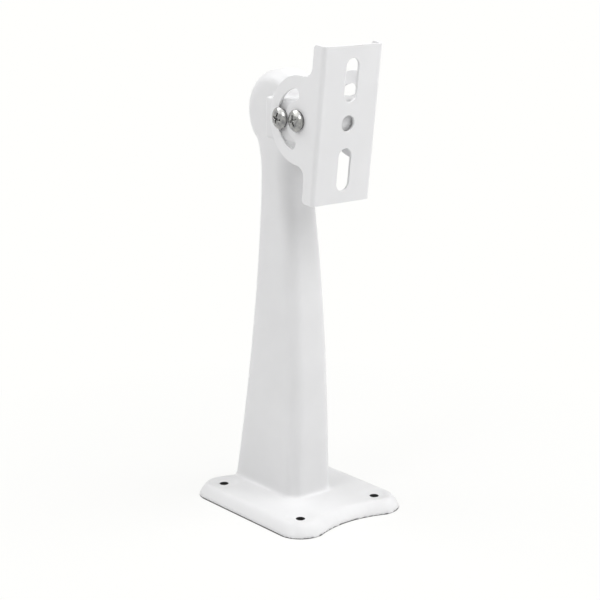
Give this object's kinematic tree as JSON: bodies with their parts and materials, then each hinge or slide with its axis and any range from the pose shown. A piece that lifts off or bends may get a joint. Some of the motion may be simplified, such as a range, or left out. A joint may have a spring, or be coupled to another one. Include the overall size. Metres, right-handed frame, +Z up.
{
  "type": "camera bracket",
  "caption": "Cast column bracket with a screw-down base flange and a folded plate that tilts and locks on its head.",
  "frame": {"origin": "on the mounting plane, under the middle of the base flange", "axes": "+Z up the column, away from the base; +X along the tilt axis, to the right seen from the plate's front; the plate's web faces -Y"},
  "size_m": [0.086, 0.102, 0.2713],
  "materials": {
    "cast_arm": "white powder coat on die-cast aluminium, satin",
    "sheet_plate": "white powder coat on folded steel sheet, satin",
    "zinc_screw": "bright zinc plate",
    "zinc_washer": "zinc plate, duller than the screws"
  },
  "bodies": {
    "arm_body": {"arm": "cast_arm", "pivot_screw_left": "zinc_screw", "pivot_screw_right": "zinc_screw", "lock_screw_left": "zinc_screw", "lock_screw_right": "zinc_screw", "pivot_washer_left": "zinc_washer", "pivot_washer_right": "zinc_washer", "lock_washer_left": "zinc_washer", "lock_washer_right": "zinc_washer"},
    "plate_body": {"tilt_plate": "sheet_plate"}
  },
  "joints": [
    {"name": "tilt", "type": "hinge", "parent": "arm_body", "child": "plate_body", "pos_m": [0, -0.025, 0.2299], "axis": [1, 0, 0], "range_deg": [-70, 35]}
  ]
}
